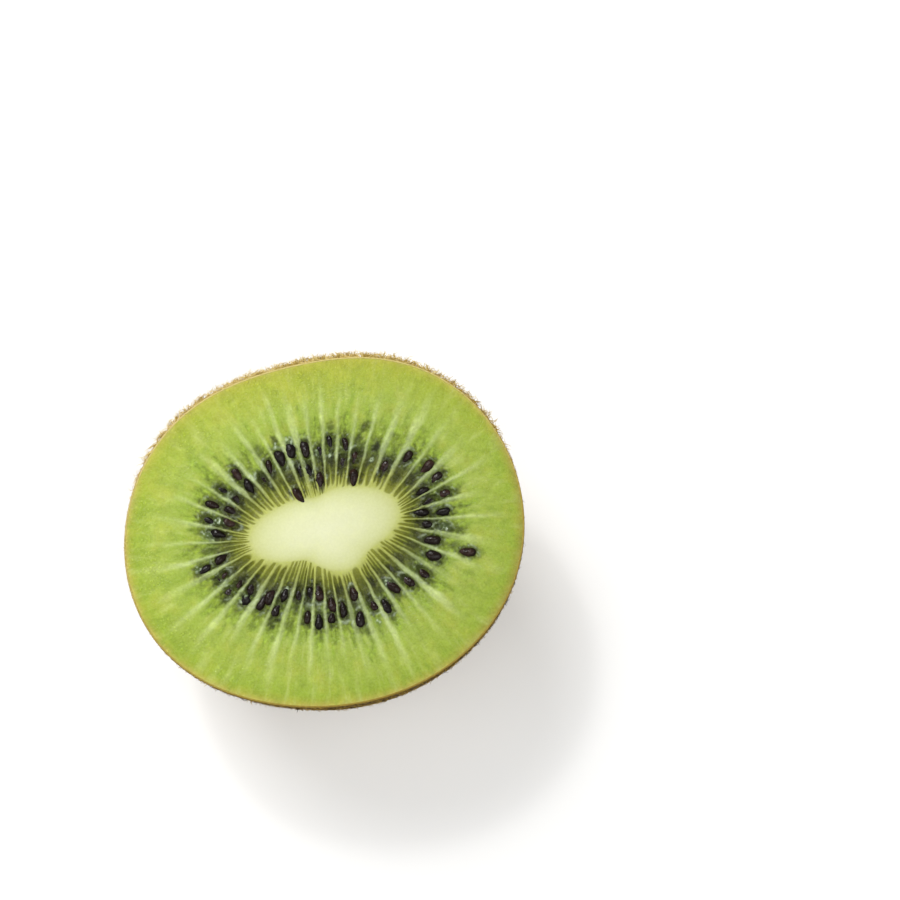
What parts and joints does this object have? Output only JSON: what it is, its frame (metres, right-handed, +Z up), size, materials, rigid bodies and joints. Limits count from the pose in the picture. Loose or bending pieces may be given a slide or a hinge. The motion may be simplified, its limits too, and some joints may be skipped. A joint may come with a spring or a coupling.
{
  "type": "kiwi fruit half",
  "caption": "Half of a green kiwi fruit cut across its length: pale core, ring of black seeds, rays and fuzzy brown skin, cut face up.",
  "frame": {"origin": "on the surface that the half stands on, under the middle of the cut", "axes": "+Z up, out of the cut face; +X along the cut's longer side, +Y along its shorter side"},
  "size_m": [0.0527, 0.0468, 0.0325],
  "materials": {
    "flesh": "wet, translucent, fine grained",
    "skin": "dull, thin, finely mottled",
    "fuzz": "short stiff hairs",
    "seed": "smooth, wet"
  },
  "bodies": {
    "root": {"kiwi_half": "flesh"}
  },
  "joints": []
}
